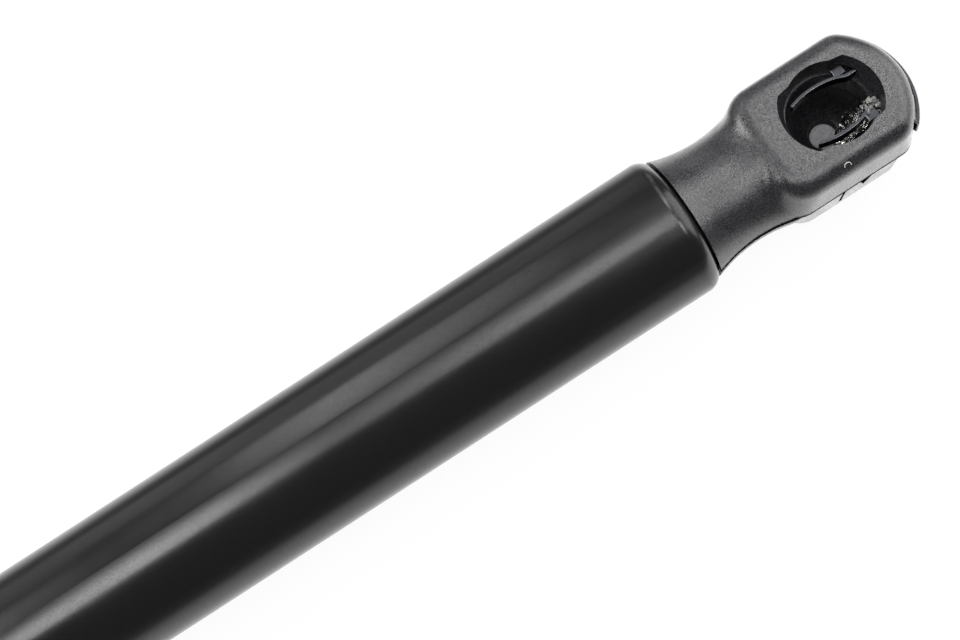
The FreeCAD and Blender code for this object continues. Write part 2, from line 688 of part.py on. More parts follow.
def strip_arc(a, b, c, z0, height):
    # A curved stretch of strip on edge, through three points of its middle line
    circle = arc(a, b, c).Curve
    centre = circle.Center
    radius = circle.Radius

    def offset(point, by):
        return centre + (point - centre) * ((radius + by) / radius)

    half = CLIP_T / 2
    outer = [offset(p, half) for p in (a, b, c)]
    inner = [offset(p, -half) for p in (c, b, a)]
    edges = [arc(*outer), Part.makeLine(outer[2], inner[0]), arc(*inner), Part.makeLine(inner[2], outer[0])]
    face = Part.Face(Part.Wire(edges))
    face.translate(V(0, 0, z0))
    return face.extrude(V(0, 0, height))


def strip_end(point, z0, height):
    return Part.makeCylinder(CLIP_T / 2, height, V(point.x, point.y, z0), Z_AXIS)


def strip_straight(a, b, z0, height):
    # A straight stretch of strip on edge, with rounded ends
    along = (b - a).normalize()
    side = V(-along.y, along.x, 0) * (CLIP_T / 2)
    corners = [a + side, b + side, b - side, a - side, a + side]
    face = Part.Face(Part.makePolygon(corners))
    face.translate(V(0, 0, z0))
    bar = face.extrude(V(0, 0, height))
    return bar.fuse([strip_end(a, z0, height), strip_end(b, z0, height)])


def on_band(angle):
    # A point of the band's middle line, with its angle in degrees from the tip towards +Y
    turn = math.radians(angle)
    return V(TIP_CENTRE_X - BAND_RADIUS * math.cos(turn), BAND_RADIUS * math.sin(turn), 0)


def clip_leg():
    # From its free end over the bow to the throat, in to the knee, through the tip and down to the band
    end = V(LEG_END_X, LEG_END_Y, 0)
    bow = V(LEG_BOW_X, LEG_BOW_Y, 0)
    throat = V(LEG_THROAT_X, LEG_THROAT_Y, 0)
    knee = V(LEG_KNEE_X, RISER_Y, 0)
    riser_back = V(RISER_X + RISER_HALF_LENGTH, RISER_Y, 0)
    riser_front = V(RISER_X - RISER_HALF_LENGTH, RISER_Y, 0)
    lug_x0 = LEG_THROAT_X - LUG_LENGTH
    lug = box(lug_x0, LEG_THROAT_X, LEG_THROAT_Y, LUG_END_Y, LEG_TOP - LUG_HEIGHT, LEG_TOP)
    return strip_arc(end, bow, throat, LEG_Z, LEG_HEIGHT).fuse(
        [
            strip_end(end, LEG_Z, LEG_HEIGHT),
            strip_straight(throat, knee, LEG_Z, LEG_HEIGHT),
            strip_straight(knee, riser_back, LEG_Z, LEG_HEIGHT),
            strip_straight(riser_back, riser_front, BAND_Z, LEG_TOP - BAND_Z),
            strip_straight(riser_front, on_band(BAND_HALF_ANGLE), BAND_Z, BAND_HEIGHT),
            lug,
        ]
    )


def clip():
    band = strip_arc(
        on_band(-BAND_HALF_ANGLE), on_band(0), on_band(BAND_HALF_ANGLE), BAND_Z, BAND_HEIGHT
    )
    leg = clip_leg()
    other_leg = leg.mirror(ORIGIN, Y_AXIS)
    return band.fuse([leg, other_leg]).removeSplitter()


def at_rod_end(shape):
    # The same piece on the other end of the strut, turned to face it
    moved = shape.copy()
    moved.rotate(ORIGIN, Z_AXIS, 180)
    moved.translate(V(ROD_BALL_X, 0, 0))
    return moved


def main():
    one_socket = socket()
    one_clip = clip()
    parts = {
        "pressure_tube": pressure_tube(),
        "end_plug": end_plug(),
        "end_plug_o_ring": end_plug_o_ring(),
        "tube_end_socket": one_socket,
        "tube_end_clip": one_clip,
        "rod_guide": rod_guide(),
        "guide_bush": guide_bush(),
        "guide_o_ring": guide_o_ring(),
        "rod_wiper": rod_wiper(),
        "seal_backup_ring": seal_backup_ring(),
        "rod_seal": rod_seal(),
        "seal_washer": seal_washer(),
        "piston_rod": piston_rod(),
        "piston_support_washer": piston_support_washer(),
        "piston_body": piston_body(),
        "piston_ring": piston_ring(),
        "valve_plate": valve_plate(),
        "nozzle_disc": nozzle_disc(),
        "tail_washer": tail_washer(),
        "rod_end_socket": at_rod_end(one_socket),
        "rod_end_clip": at_rod_end(one_clip),
    }
    os.makedirs("parts", exist_ok=True)
    for name, shape in parts.items():
        shape.exportStep(os.path.join("parts", name + ".step"))
        print(name, "solids", len(shape.Solids), "valid", shape.isValid(), "volume", round(shape.Volume, 1))
    print("ball centre to ball centre", round(ROD_BALL_X, 2))


main()
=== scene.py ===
import bpy
import json
import math
import random
from mathutils import Matrix, Vector

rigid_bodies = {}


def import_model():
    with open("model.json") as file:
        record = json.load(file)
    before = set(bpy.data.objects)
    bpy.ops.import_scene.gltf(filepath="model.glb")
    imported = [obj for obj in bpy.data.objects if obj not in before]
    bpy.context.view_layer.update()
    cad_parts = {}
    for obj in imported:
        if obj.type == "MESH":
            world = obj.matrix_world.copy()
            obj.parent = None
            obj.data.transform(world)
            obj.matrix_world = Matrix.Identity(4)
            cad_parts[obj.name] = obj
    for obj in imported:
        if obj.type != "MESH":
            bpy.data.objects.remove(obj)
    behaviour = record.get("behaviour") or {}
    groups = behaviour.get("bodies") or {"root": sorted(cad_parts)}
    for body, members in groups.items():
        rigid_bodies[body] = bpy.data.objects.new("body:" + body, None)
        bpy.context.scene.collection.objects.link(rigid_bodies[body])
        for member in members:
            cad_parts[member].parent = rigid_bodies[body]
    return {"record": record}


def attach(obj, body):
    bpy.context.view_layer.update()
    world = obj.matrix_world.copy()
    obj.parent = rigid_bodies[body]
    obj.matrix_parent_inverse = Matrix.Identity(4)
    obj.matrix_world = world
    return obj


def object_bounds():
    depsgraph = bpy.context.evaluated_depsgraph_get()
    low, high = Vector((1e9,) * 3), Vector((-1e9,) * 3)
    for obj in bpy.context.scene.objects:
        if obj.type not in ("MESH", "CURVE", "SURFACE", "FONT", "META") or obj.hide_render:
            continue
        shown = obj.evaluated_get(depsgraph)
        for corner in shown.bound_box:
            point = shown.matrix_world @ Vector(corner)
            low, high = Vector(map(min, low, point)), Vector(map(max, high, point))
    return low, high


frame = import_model()
cad_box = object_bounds()

MM = 0.001                            # a millimetre, in metres

# The photograph is taken from close by, square to the strut's axis, with the ball socket near its corner
PHOTO_WIDTH = 960
PIXELS_PER_MM = 8.244                 # at the strut's axis
STRUT_SLOPE = math.radians(32.9)      # of the strut across the picture, above level
STRUT_ROLL = math.radians(18.2)       # of the strut about its own axis
AIM_ALONG = 48.16 * MM                # the picture's centre, along the strut from the ball seat
AIM_ACROSS = -3.2 * MM                # and across it
LENS = 55.0                           # in millimetres, as Blender takes it
SENSOR = 36.0
SIGHT = 20.0                          # how far the camera sees, in metres

# The strut's cross-section as the camera sees it: towards the camera, and down and right across the picture
STRUT_AXIS = Vector((1, 0, 0))
FACING = Vector((0, math.sin(STRUT_ROLL), math.cos(STRUT_ROLL)))
ACROSS = Vector((0, math.cos(STRUT_ROLL), -math.sin(STRUT_ROLL)))

# The sockets' moulding: painted shadow at the mould's parting plane, and painted shade over the half under it
SEAT_REACH = 5.3 * MM                 # the ball seats end within this much of the strut's axis
PARTING_SHADOW_Z = 0.55 * MM            # the middle of the painted shadow
PARTING_SHADOW_HEIGHT = 1.9 * MM        # with its soft edges
PARTING_SHADOW_DEPTH = 1.3              # over 1, so that its middle is dark for some way
LOWER_HALF_SHADE_FADE = 0.5 * MM            # the height over which the painted shade on the lower half sets in
LOWER_HALF_PAINTED_SHADE = 0.33            # how much the painted shade darkens and dulls it

# Grain of the finishes in millimetres, each no finer than the render shows
ORANGE_PEEL = 1.3
ENAMEL_FILM = 9.0
ENAMEL_GRAIN = 0.16
FIBRE_GRAIN = 0.17
FLOW_CLOUDS = 2.4
STRIP_MARKS = 0.5
GREASE_FOLDS = 0.5

# The range of a noise pattern that is spread over a finish, narrower for a crisp grain than for soft clouds
GRAIN_SPREAD = {"From Min": 0.34, "From Max": 0.66}
CLOUD_SPREAD = {"From Min": 0.3, "From Max": 0.7}

# Heights of the bumps
PEEL_HEIGHT = 0.01 * MM
FIBRE_HEIGHT = 0.03 * MM
FOLD_HEIGHT = 0.05 * MM

# The clip's bright corners, partly worn bare and partly a painted highlight: their radius, and how squarely a
# spot faces its own side before it turns bright
RUBBED_HIGHLIT_CORNER = 0.08 * MM
STILL_FLAT = 0.99
FULLY_RUBBED_AND_HIGHLIT = 0.9

# Grease in the seat at the tube end, and the pale painted-light lump in its pocket: centres, reach and radii
# in millimetres
GREASE_DOLLOP = [
    ((-2.1, 2.1, 2.9), (1.8, 1.6, 1.6)),
    ((-0.5, 2.6, 2.3), (1.6, 1.2, 1.3)),
    ((-3.7, 2.0, 4.3), (1.0, 1.0, 1.0)),
]
DOLLOP_VOXEL = 0.12
DOLLOP_UNEVENNESS = 0.25
CRUMBS = 24
CRUMB_SEED = 7
CRUMB_MIDDLE = (-3.9, 2.5, 5.55)
CRUMB_REACH = (1.0, 0.95, 0.2)
CRUMB_SIZES = (0.1, 0.32)
CRUMB_STRETCH = (0.6, 1.5)
CRUMB_VOXEL = 0.05
CRUMB_UNEVENNESS = 0.3
POOL_CENTRE = (-0.2, -0.8, -5.1)
POOL_RADII = (1.7, 1.7, 0.2)
POOL_VOXEL = 0.06
POOL_UNEVENNESS = 0.06
LUMP_OF_VOXELS = 7                    # the lumps in an uneven skin are this many voxels wide

# The curl of flash on the head at the tube end, in millimetres and degrees
CURL_CENTRE = (2.8, 7.35, 6.6)
CURL_RADIUS = 0.42
CURL_THICKNESS = 0.1
CURL_TURN = 200
CURL_SIDES = 8
CURL_STEPS = 16

# The stage, in metres. For mirror rays the floor glows, brighter than white beside the strut and dim further
# out: a painted reflection on the strut.
FLOOR_GAP = 0.2 * MM
FLOOR_SIZE = 80.0
BRIGHT_FLOOR_TO = 20 * MM
DIM_FLOOR_FROM = 65 * MM
BRIGHT_FLOOR = 1.3
DIM_FLOOR = 0.12
HEAD_FLOOR_FROM = 20 * MM             # towards the head the floor mirrors brighter still
HEAD_FLOOR_TO = 5 * MM
HEAD_FLOOR_GAIN = 1.75
WHITE_SHARE = 0.95                    # the rest of the floor takes the strut's shadow
LAMP_DISTANCE = 0.7
ROOM_LIGHT = 0.12


# Camera, lamps and floor

def make_camera():
    camera = bpy.data.cameras.new("photo_camera")
    camera.lens = LENS
    camera.sensor_width = SENSOR
    camera.clip_end = SIGHT
    right = ACROSS * math.sin(STRUT_SLOPE) - STRUT_AXIS * math.cos(STRUT_SLOPE)
    up = -ACROSS * math.cos(STRUT_SLOPE) - STRUT_AXIS * math.sin(STRUT_SLOPE)
    view_width = PHOTO_WIDTH / PIXELS_PER_MM * MM
    distance = view_width * LENS / SENSOR
    place = STRUT_AXIS * AIM_ALONG + ACROSS * AIM_ACROSS + FACING * distance
    turn = Matrix((right, up, FACING)).transposed().to_4x4()
    holder = bpy.data.objects.new("photo_camera", camera)
    holder.matrix_world = Matrix.Translation(place) @ turn
    bpy.context.scene.collection.objects.link(holder)
    bpy.context.scene.camera = holder


def soft_box(name, angle, half_width, start, end, radiance, lean=0.0):
    # A lamp that runs along the strut from start to end, in metres from the ball seat. Angle and half width
    # are in degrees round the strut from the camera's side. Lean is the sine of its tilt to the rod end.
    turn = math.radians(angle)
    around = FACING * math.cos(turn) + ACROSS * math.sin(turn)
    direction = around * math.sqrt(1 - lean * lean) + STRUT_AXIS * lean
    across = direction.cross(STRUT_AXIS).normalized()
    along = across.cross(direction).normalized()
    lamp = bpy.data.lights.new(name, "AREA")
    lamp.shape = "RECTANGLE"
    lamp.size = end - start
    lamp.size_y = 2 * LAMP_DISTANCE * math.tan(math.radians(half_width))
    lamp.energy = math.pi * lamp.size * lamp.size_y * radiance
    holder = bpy.data.objects.new(name, lamp)
    place = STRUT_AXIS * (start + end) / 2 + direction * LAMP_DISTANCE
    facing_strut = Matrix((along, direction.cross(along), direction)).transposed().to_4x4()
    holder.matrix_world = Matrix.Translation(place) @ facing_strut
    bpy.context.scene.collection.objects.link(holder)


def make_lamps():
    # Each with its angle, half width, start, end and radiance. One long overhead box in six stretches comes
    # first, brightest towards its ends.
    soft_box("overhead_tail", -14.0, 9.0, 0.34, 0.42, 9.0)
    soft_box("overhead_far_end", -14.0, 10.0, 0.215, 0.34, 9.5)
    soft_box("overhead_far", -13.0, 12.0, 0.14, 0.215, 0.7)
    soft_box("overhead_middle", -13.0, 12.0, 0.07, 0.14, 2.6)
    soft_box("overhead_near", -12.0, 12.0, 0.0, 0.07, 3.6)
    soft_box("overhead_near_end", -11.0, 10.0, -0.1, 0.0, 6.0)
    # A window on the far side, and the wall under it
    soft_box("window_far", -60.0, 16.0, 0.1, 0.205, 4.0)
    soft_box("window_near", -60.0, 15.0, 0.0, 0.1, 1.8)
    soft_box("wall_near", -96.0, 16.0, -0.08, 0.2, 0.6)
    soft_box("wall_far", -100.0, 20.0, 0.2, 0.34, 0.8)
    soft_box("wall_tip", -100.0, 20.0, -0.4, -0.2, 1.2)
    # Boxes that only the ball sockets mirror
    soft_box("tip_box", -38.0, 12.0, -0.28, -0.14, 7.5)
    soft_box("tip_box_far", -33.0, 20.0, -0.5, -0.28, 1.6)
    soft_box("tip_window", -62.0, 11.0, -0.34, -0.2, 2.2)
    soft_box("tip_front", 2.0, 14.0, -0.3, -0.14, 7.0)
    soft_box("tip_end", -20.0, 30.0, -0.3, 0.3, 3.1, lean=-0.85)
    soft_box("ramp_box", -56.0, 10.0, -0.2, 0.3, 7.0, lean=0.75)
    soft_box("rod_window", -45.0, 12.0, 0.36, 0.9, 0.4)
    soft_box("rod_wall", -90.0, 16.0, 0.36, 0.9, 0.8)
    world = bpy.data.worlds.new("room")
    world.use_nodes = True
    world.node_tree.nodes["Background"].inputs["Color"].default_value = srgb("#ffffff")
    world.node_tree.nodes["Background"].inputs["Strength"].default_value = ROOM_LIGHT
    bpy.context.scene.world = world


def make_floor():
    # White where the camera sees it or looks through grease at it, and for mirror rays a glow of uneven
    # strength: a painted reflection
    lowest = min(corner[2] for corner in cad_box)
    bpy.ops.object.select_all(action="DESELECT")
    bpy.ops.mesh.primitive_plane_add(size=FLOOR_SIZE, location=(0, 0, lowest - FLOOR_GAP))
    floor = bpy.context.object
    floor.name = "floor"
    bpy.ops.object.transform_apply(location=True)
    material, tree, shader = new_material("white_paper_floor")
    shader.inputs["Base Color"].default_value = srgb("#f2f2f2")
    shader.inputs["Roughness"].default_value = 0.9
    path = add_node(tree, "ShaderNodeLightPath", {})
    place = add_node(tree, "ShaderNodeTexCoord", {})
    apart = add_node(tree, "ShaderNodeSeparateXYZ", {0: place.outputs["Object"]})
    aside = add_node(tree, "ShaderNodeMath", {0: apart.outputs[1]}, operation="ABSOLUTE")
    # Glow for mirror rays only, brighter beside the strut and by the head: a painted reflection on the strut
    mirrored = add_node(
        tree, "ShaderNodeMapRange",
        {
            "Value": aside.outputs[0], "From Min": BRIGHT_FLOOR_TO, "From Max": DIM_FLOOR_FROM,
            "To Min": BRIGHT_FLOOR, "To Max": DIM_FLOOR,
        },
        interpolation_type="SMOOTHSTEP",
    )
    by_the_head = add_node(
        tree, "ShaderNodeMapRange",
        {
            "Value": apart.outputs[0], "From Min": HEAD_FLOOR_FROM, "From Max": HEAD_FLOOR_TO,
            "To Min": 1.0, "To Max": HEAD_FLOOR_GAIN,
        },
    )
    brighter = add_node(
        tree, "ShaderNodeMath", {0: mirrored.outputs[0], 1: by_the_head.outputs[0]}, operation="MULTIPLY"
    )
    shine = add_node(
        tree, "ShaderNodeMath", {0: brighter.outputs[0], 1: path.outputs["Is Glossy Ray"]},
        operation="MULTIPLY",
    )
    seen = add_node(
        tree, "ShaderNodeMath", {0: path.outputs["Is Camera Ray"], 1: path.outputs["Is Transmission Ray"]},
        operation="MAXIMUM",
    )
    strength = add_node(tree, "ShaderNodeMath", {0: shine.outputs[0], 1: seen.outputs[0]}, operation="ADD")
    glossy_or_seen = add_node(
        tree, "ShaderNodeMath", {0: seen.outputs[0], 1: path.outputs["Is Glossy Ray"]}, operation="MAXIMUM"
    )
    share = add_node(
        tree, "ShaderNodeMath", {0: glossy_or_seen.outputs[0], 1: WHITE_SHARE}, operation="MULTIPLY"
    )
    glow = add_node(
        tree, "ShaderNodeEmission", {"Color": srgb("#ffffff"), "Strength": strength.outputs[0]}
    )
    mix = add_node(
        tree, "ShaderNodeMixShader", {0: share.outputs[0], 1: shader.outputs[0], 2: glow.outputs[0]}
    )
    tree.links.new(mix.outputs[0], tree.nodes["Material Output"].inputs["Surface"])
    floor.data.materials.append(material)


# Materials

def srgb(code):
    channels = [int(code[start:start + 2], 16) / 255 for start in (1, 3, 5)]
    linear = [c / 12.92 if c <= 0.04045 else ((c + 0.055) / 1.055) ** 2.4 for c in channels]
    return (*linear, 1.0)


def add_node(tree, kind, sockets, **settings):
    # A socket gets a value, or is linked where it is given another node's output
    node = tree.nodes.new(kind)
    for name, value in settings.items():
        setattr(node, name, value)
    for socket, value in sockets.items():
        if isinstance(value, bpy.types.NodeSocket):
            tree.links.new(value, node.inputs[socket])
        else:
            node.inputs[socket].default_value = value
    return node


def per_metre(size_mm):
    return 1.0 / (size_mm * MM)


def new_material(name):
    material = bpy.data.materials.new(name)
    material.use_nodes = True
    return material, material.node_tree, material.node_tree.nodes["Principled BSDF"]


def satin_black_enamel():
    # Stoving enamel sprayed on a drawn steel tube: near black, satin, finely grained, faint orange peel
    material, tree, shader = new_material("satin_black_enamel")
    place = add_node(tree, "ShaderNodeTexCoord", {})
    peel = add_node(
        tree, "ShaderNodeTexNoise",
        {"Vector": place.outputs["Object"], "Scale": per_metre(ORANGE_PEEL), "Detail": 2.0, "Roughness": 0.4},
    )
    film = add_node(
        tree, "ShaderNodeTexNoise",
        {"Vector": place.outputs["Object"], "Scale": per_metre(ENAMEL_FILM), "Detail": 3.0, "Roughness": 0.6},
    )
    gloss = add_node(
        tree, "ShaderNodeMapRange",
        {"Value": film.outputs[0], **CLOUD_SPREAD, "To Min": 0.2, "To Max": 0.24},
    )
    bump = add_node(
        tree, "ShaderNodeBump", {"Strength": 0.25, "Distance": PEEL_HEIGHT, "Height": peel.outputs[0]}
    )
    grain = add_node(
        tree, "ShaderNodeTexNoise",
        {"Vector": place.outputs["Object"], "Scale": per_metre(ENAMEL_GRAIN), "Detail": 1.0},
    )
    sparkle = add_node(
        tree, "ShaderNodeMapRange",
        {"Value": grain.outputs[0], **GRAIN_SPREAD, "To Min": 0.4, "To Max": 0.6},
    )
    shader.inputs["Base Color"].default_value = srgb("#131313")
    shader.inputs["IOR"].default_value = 1.5
    tree.links.new(sparkle.outputs[0], shader.inputs["Specular IOR Level"])
    tree.links.new(gloss.outputs[0], shader.inputs["Roughness"])
    tree.links.new(bump.outputs[0], shader.inputs["Normal"])
    return material


def moulded_glass_filled_nylon():
    # Black nylon with short glass fibres, injection moulded: dark grey and satin, grained where fibres
    # surface, clouded by the flow of the melt, with painted shadow at the parting plane and painted shade
    # under it
    material, tree, shader = new_material("moulded_glass_filled_nylon")
    place = add_node(tree, "ShaderNodeTexCoord", {})
    grain = add_node(
        tree, "ShaderNodeTexNoise",
        {"Vector": place.outputs["Object"], "Scale": per_metre(FIBRE_GRAIN), "Detail": 2.0, "Roughness": 0.7},
    )
    fibres = add_node(
        tree, "ShaderNodeMapRange",
        {"Value": grain.outputs[0], **GRAIN_SPREAD, "To Min": 0.0, "To Max": 1.0},
    )
    clouds = add_node(
        tree, "ShaderNodeTexNoise",
        {"Vector": place.outputs["Object"], "Scale": per_metre(FLOW_CLOUDS), "Detail": 3.0, "Roughness": 0.6},
    )
    tone = add_node(
        tree, "ShaderNodeMix", {"Factor": fibres.outputs[0], 6: srgb("#070708"), 7: srgb("#343337")},
        data_type="RGBA",
    )
    # Painted shadow at the parting plane and painted shade over the lower half darken the tone and dull the
    # shine
    painted_shade = painted_parting_shade(tree, place.outputs["Object"])
    shaded_tone = add_node(
        tree, "ShaderNodeMix", {"Factor": painted_shade, 6: tone.outputs[2], 7: srgb("#050505")}, data_type="RGBA"
    )
    shine = add_node(
        tree, "ShaderNodeMapRange",
        {"Value": grain.outputs[0], **GRAIN_SPREAD, "To Min": 0.35, "To Max": 0.75},
    )
    shaded_shine = add_node(
        tree, "ShaderNodeMath", {0: shine.outputs[0], 1: painted_shade}, operation="SUBTRACT", use_clamp=True
    )
    gloss = add_node(
        tree, "ShaderNodeMapRange",
        {"Value": clouds.outputs[0], **CLOUD_SPREAD, "To Min": 0.22, "To Max": 0.32},
    )
    bump = add_node(
        tree, "ShaderNodeBump", {"Strength": 1.0, "Distance": FIBRE_HEIGHT, "Height": grain.outputs[0]}
    )
    shader.inputs["IOR"].default_value = 1.6
    tree.links.new(shaded_tone.outputs[2], shader.inputs["Base Color"])
    tree.links.new(shaded_shine.outputs[0], shader.inputs["Specular IOR Level"])
    tree.links.new(gloss.outputs[0], shader.inputs["Roughness"])
    tree.links.new(bump.outputs[0], shader.inputs["Normal"])
    return material


def painted_parting_shade(tree, place):
    # How much painted shade darkens and dulls the moulding: fully in a thin painted shadow at the parting
    # plane, on the outside of a socket's two long sides, and partly on the half under that
    apart = add_node(tree, "ShaderNodeSeparateXYZ", {0: place})
    beside = add_node(tree, "ShaderNodeMath", {0: apart.outputs[1]}, operation="ABSOLUTE")
    outside = add_node(
        tree, "ShaderNodeMath", {0: beside.outputs[0], 1: SEAT_REACH}, operation="GREATER_THAN"
    )
    height = add_node(
        tree, "ShaderNodeMath", {0: apart.outputs[2], 1: PARTING_SHADOW_Z}, operation="SUBTRACT"
    )
    away = add_node(tree, "ShaderNodeMath", {0: height.outputs[0]}, operation="ABSOLUTE")
    band = add_node(
        tree, "ShaderNodeMapRange",
        {
            "Value": away.outputs[0], "From Min": PARTING_SHADOW_HEIGHT / 2, "From Max": 0.0,
            "To Min": 0.0, "To Max": PARTING_SHADOW_DEPTH,
        },
    )
    painted_shade = add_node(
        tree, "ShaderNodeMath", {0: band.outputs[0], 1: outside.outputs[0]},
        operation="MULTIPLY", use_clamp=True,
    )
    below = add_node(
        tree, "ShaderNodeMapRange",
        {
            "Value": height.outputs[0], "From Min": 0.0, "From Max": -LOWER_HALF_SHADE_FADE,
            "To Min": 0.0, "To Max": LOWER_HALF_PAINTED_SHADE,
        },
    )
    either = add_node(
        tree, "ShaderNodeMath", {0: painted_shade.outputs[0], 1: below.outputs[0]}, operation="MAXIMUM"
    )
    return either.outputs[0]


def bare_metal(name, light, dark, roughness, mark_size, rings=1):
    # Marks of a size in millimetres, each drawn that much finer along the strut where the piece was turned
    material, tree, shader = new_material(name)
    place = add_node(tree, "ShaderNodeTexCoord", {})
    drawn = add_node(
        tree, "ShaderNodeMapping", {"Vector": place.outputs["Object"], "Scale": (rings, 1, 1)}
    )
    marks = add_node(
        tree, "ShaderNodeTexNoise",
        {"Vector": drawn.outputs[0], "Scale": per_metre(mark_size), "Detail": 4.0, "Roughness": 0.6},
    )
    tone = add_node(
        tree, "ShaderNodeMix", {"Factor": marks.outputs[0], 6: srgb(dark), 7: srgb(light)}, data_type="RGBA"
    )
    smooth, rough = roughness
    gloss = add_node(
        tree, "ShaderNodeMapRange",
        {"Value": marks.outputs[0], **CLOUD_SPREAD, "To Min": smooth, "To Max": rough},
    )
    shader.inputs["Metallic"].default_value = 1.0
    tree.links.new(tone.outputs[2], shader.inputs["Base Color"])
    tree.links.new(gloss.outputs[0], shader.inputs["Roughness"])
    return material


def blued_spring_steel():
    # Strip blanked, hardened and blued: dark satin faces, and bright corners, part wear and part painted
    # highlight
    material, tree, shader = new_material("blued_spring_steel_strip")
    place = add_node(tree, "ShaderNodeTexCoord", {})
    marks = add_node(
        tree, "ShaderNodeTexNoise",
        {"Vector": place.outputs["Object"], "Scale": per_metre(STRIP_MARKS), "Detail": 4.0, "Roughness": 0.6},
    )
    blued = add_node(
        tree, "ShaderNodeMix", {"Factor": marks.outputs[0], 6: srgb("#222326"), 7: srgb("#3a3b3f")},
        data_type="RGBA",
    )
    # The corners' pale tone is partly bare worn steel and partly a painted highlight
    rubbed_and_highlit = add_node(
        tree, "ShaderNodeMix", {"Factor": marks.outputs[0], 6: srgb("#8a8a8c"), 7: srgb("#e2e1df")},
        data_type="RGBA",
    )
    rounded = add_node(tree, "ShaderNodeBevel", {"Radius": RUBBED_HIGHLIT_CORNER}, samples=8)
    flat = add_node(tree, "ShaderNodeNewGeometry", {})
    turned = add_node(
        tree, "ShaderNodeVectorMath", {0: rounded.outputs[0], 1: flat.outputs["Normal"]},
        operation="DOT_PRODUCT",
    )
    on_corner = add_node(
        tree, "ShaderNodeMapRange",
        {"Value": turned.outputs["Value"], "From Min": STILL_FLAT, "From Max": FULLY_RUBBED_AND_HIGHLIT},
    )
    tone = add_node(
        tree, "ShaderNodeMix",
        {"Factor": on_corner.outputs[0], 6: blued.outputs[2], 7: rubbed_and_highlit.outputs[2]}, data_type="RGBA",
    )
    gloss = add_node(
        tree, "ShaderNodeMapRange",
        {"Value": marks.outputs[0], **CLOUD_SPREAD, "To Min": 0.24, "To Max": 0.38},
    )
    shader.inputs["Metallic"].default_value = 1.0
    tree.links.new(tone.outputs[2], shader.inputs["Base Color"])
    tree.links.new(gloss.outputs[0], shader.inputs["Roughness"])
    tree.links.new(rounded.outputs[0], shader.inputs["Normal"])
    return material


def grease(name, light, dark, clearness, roughness):
    # Ball joint grease: clear and wet where it stands thick, and paler for a painted sheen on the crumbs
    # and for painted light in the pocket
    material, tree, shader = new_material(name)
    place = add_node(tree, "ShaderNodeTexCoord", {})
    folds = add_node(
        tree, "ShaderNodeTexNoise",
        {
            "Vector": place.outputs["Object"], "Scale": per_metre(GREASE_FOLDS),
            "Detail": 3.0, "Roughness": 0.6,
        },
    )
    wet = add_node(
        tree, "ShaderNodeMapRange",
        {"Value": folds.outputs[0], **CLOUD_SPREAD, "To Min": roughness, "To Max": 2 * roughness},
    )
    bump = add_node(
        tree, "ShaderNodeBump", {"Strength": 0.4, "Distance": FOLD_HEIGHT, "Height": folds.outputs[0]}
    )
    tone = add_node(
        tree, "ShaderNodeMix", {"Factor": folds.outputs[0], 6: srgb(dark), 7: srgb(light)}, data_type="RGBA"
    )
    tree.links.new(tone.outputs[2], shader.inputs["Base Color"])
    shader.inputs["Transmission Weight"].default_value = clearness
    shader.inputs["IOR"].default_value = 1.47
    tree.links.new(wet.outputs[0], shader.inputs["Roughness"])
    tree.links.new(bump.outputs[0], shader.inputs["Normal"])
    return material


def plain_matt(name, light, dark, roughness, mottle_size):
    material, tree, shader = new_material(name)
    place = add_node(tree, "ShaderNodeTexCoord", {})
    mottle = add_node(
        tree, "ShaderNodeTexNoise",
        {"Vector": place.outputs["Object"], "Scale": per_metre(mottle_size), "Detail": 3.0, "Roughness": 0.6},
    )
    tone = add_node(
        tree, "ShaderNodeMix", {"Factor": mottle.outputs[0], 6: srgb(dark), 7: srgb(light)}, data_type="RGBA"
    )
    shader.inputs["Roughness"].default_value = roughness
    tree.links.new(tone.outputs[2], shader.inputs["Base Color"])
    return material


def make_materials():
    return {
        "tube_paint": satin_black_enamel(),
        "socket_plastic": moulded_glass_filled_nylon(),
        "spring_steel": blued_spring_steel(),
        # Ground and hard chromed: bright and cold, and it mirrors the lamps as narrow soft lines
        "plated_rod": bare_metal("hard_chrome_plate", "#d2d5d9", "#c4c7cb", (0.13, 0.17), 2.0),
        # Turned: a soft sheen with fine rings round the strut
        "turned_steel": bare_metal("turned_steel", "#a9acb0", "#8f9296", (0.25, 0.4), 0.5, rings=8),
        "guide_aluminium": bare_metal("turned_aluminium", "#c4c6c9", "#adb0b4", (0.25, 0.38), 0.4, rings=8),
        # Punched from strip: grey and evenly dull
        "pressed_steel": bare_metal("pressed_steel", "#a0a3a7", "#86898d", (0.3, 0.45), 0.8),
        # Pressed from powder: pale, matt and fine-grained
        "piston_aluminium": bare_metal("sintered_aluminium", "#b8babd", "#9fa2a6", (0.4, 0.55), 0.3),
        # Rolled bush: warm yellow brown with a dull sheen
        "bearing_bronze": bare_metal("bearing_bronze", "#b88d52", "#9c7643", (0.3, 0.45), 0.4, rings=6),
        # Moulded rubber: black and matt
        "sealing_rubber": plain_matt("nitrile_rubber", "#222223", "#161617", 0.7, 0.4),
        # Turned from rod: waxy white, and brown where it is filled for wear
        "backup_plastic": plain_matt("white_ptfe", "#e2e0d8", "#d4d2ca", 0.5, 1.0),
        "ring_plastic": plain_matt("filled_ptfe", "#443c32", "#332d26", 0.5, 0.3),
    }


def dress_nodes(materials):
    for row in frame["record"]["subparts"]:
        mesh = bpy.data.objects[row["node"]].data
        mesh.materials.clear()
        mesh.materials.append(materials[row["material_slot"]])


# What the seat at the tube end has in it, and what its moulding has left on it

def in_millimetres(point):
    return Vector(point) * MM


def add_lump(centre, radii):
    bpy.ops.mesh.primitive_ico_sphere_add(subdivisions=3, radius=MM, location=in_millimetres(centre))
    lump = bpy.context.object
    bpy.ops.object.mode_set(mode="EDIT")
    bpy.ops.transform.resize(value=radii)
    bpy.ops.object.mode_set(mode="OBJECT")
    return lump


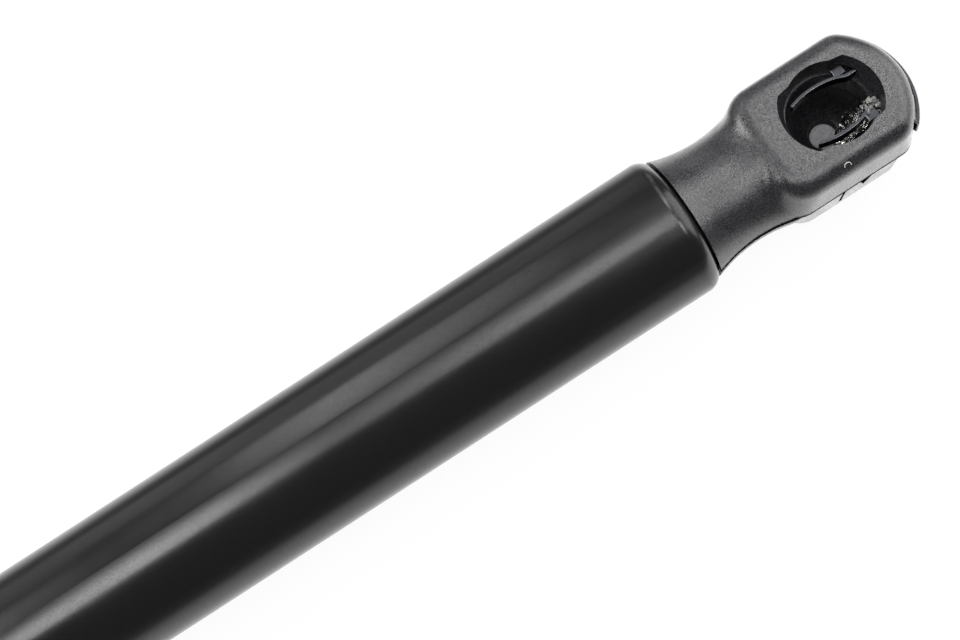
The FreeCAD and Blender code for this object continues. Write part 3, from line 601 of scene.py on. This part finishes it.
def melt_together(name, lumps, voxel, unevenness):
    # Lumps that run into each other, with an uneven skin
    bpy.ops.object.select_all(action="DESELECT")
    for lump in lumps:
        lump.select_set(True)
    bpy.context.view_layer.objects.active = lumps[0]
    bpy.ops.object.join()
    piece = bpy.context.object
    piece.name = name
    bpy.ops.object.transform_apply(location=True, rotation=True, scale=True)
    skin = piece.modifiers.new("skin", "REMESH")
    skin.mode = "VOXEL"
    skin.voxel_size = voxel * MM
    clouds = bpy.data.textures.new(name + "_clouds", "CLOUDS")
    clouds.noise_scale = LUMP_OF_VOXELS * voxel * MM
    folds = piece.modifiers.new("folds", "DISPLACE")
    folds.texture = clouds
    folds.texture_coords = "LOCAL"
    folds.strength = unevenness * MM
    rounding = piece.modifiers.new("rounding", "SMOOTH")
    rounding.iterations = 2
    for modifier in [skin, folds, rounding]:
        bpy.ops.object.modifier_apply(modifier=modifier.name)
    bpy.ops.object.shade_smooth()
    return piece


def ball_grease():
    # A clear dollop that hangs from the +Y leg down to the wall of the seat
    lumps = [add_lump(centre, radii) for centre, radii in GREASE_DOLLOP]
    dollop = melt_together("grease_dollop", lumps, DOLLOP_VOXEL, DOLLOP_UNEVENNESS)
    dollop.data.materials.append(grease("clear_joint_grease", "#fcfbf6", "#f6f5ee", 1.0, 0.03))
    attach(dollop, "tube")

    # Crumbs of it on the leg's throat and lug, whitish for a painted sheen
    random.seed(CRUMB_SEED)
    lumps = []
    for crumb in range(CRUMBS):
        places = zip(CRUMB_MIDDLE, CRUMB_REACH)
        centre = [middle + random.uniform(-reach, reach) for middle, reach in places]
        size = random.uniform(*CRUMB_SIZES)
        radii = [size * random.uniform(*CRUMB_STRETCH) for axis in range(3)]
        lumps.append(add_lump(centre, radii))
    crumbs = melt_together("grease_crumbs", lumps, CRUMB_VOXEL, CRUMB_UNEVENNESS)
    # The crumbs' whitish tone is a painted sheen
    crumbs.data.materials.append(grease("joint_grease_painted_sheen", "#f4f3ee", "#b4b3ac", 0.8, 0.14))
    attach(crumbs, "tube")

    # A pale grey lump on the floor of the seat's pocket: painted light, so that the pocket floor looks lit
    lump = add_lump(POOL_CENTRE, POOL_RADII)
    pool = melt_together("pocket_floor_painted_light_lump", [lump], POOL_VOXEL, POOL_UNEVENNESS)
    # Pale grey tone: painted light for the lit floor of the pocket
    pool.data.materials.append(grease("pocket_floor_painted_light", "#c2c2c4", "#5c5c60", 0.0, 0.35))
    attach(pool, "tube")


def flash_curl():
    # A hair of flash that has curled up on the head's rounded edge
    bpy.ops.object.select_all(action="DESELECT")
    centre = in_millimetres(CURL_CENTRE)
    normal = Vector((0, 1, 1)).normalized()
    along_the_hair = normal.cross(STRUT_AXIS)
    bpy.ops.mesh.primitive_circle_add(
        vertices=CURL_SIDES, radius=CURL_THICKNESS / 2 * MM, fill_type="NGON",
        location=centre + STRUT_AXIS * CURL_RADIUS * MM,
        rotation=along_the_hair.to_track_quat("Z", "Y").to_euler(),
    )
    curl = bpy.context.object
    curl.name = "flash_curl"
    bpy.ops.object.transform_apply(location=True, rotation=True, scale=True)
    bpy.ops.object.mode_set(mode="EDIT")
    bpy.ops.mesh.select_all(action="SELECT")
    bpy.ops.mesh.spin(steps=CURL_STEPS, angle=math.radians(CURL_TURN), center=centre, axis=normal)
    bpy.ops.mesh.select_all(action="SELECT")
    bpy.ops.mesh.normals_make_consistent(inside=False)
    bpy.ops.object.mode_set(mode="OBJECT")
    bpy.ops.object.shade_smooth()
    # Black nylon drawn so thin that it has whitened: pale, dull and cloudy
    curl.data.materials.append(plain_matt("stretched_nylon_flash", "#d8d7d4", "#a9a8a6", 0.45, 0.2))
    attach(curl, "tube")


make_camera()
make_lamps()
make_floor()
dress_nodes(make_materials())
ball_grease()
flash_curl()

bpy.context.scene.view_settings.view_transform = "Standard"
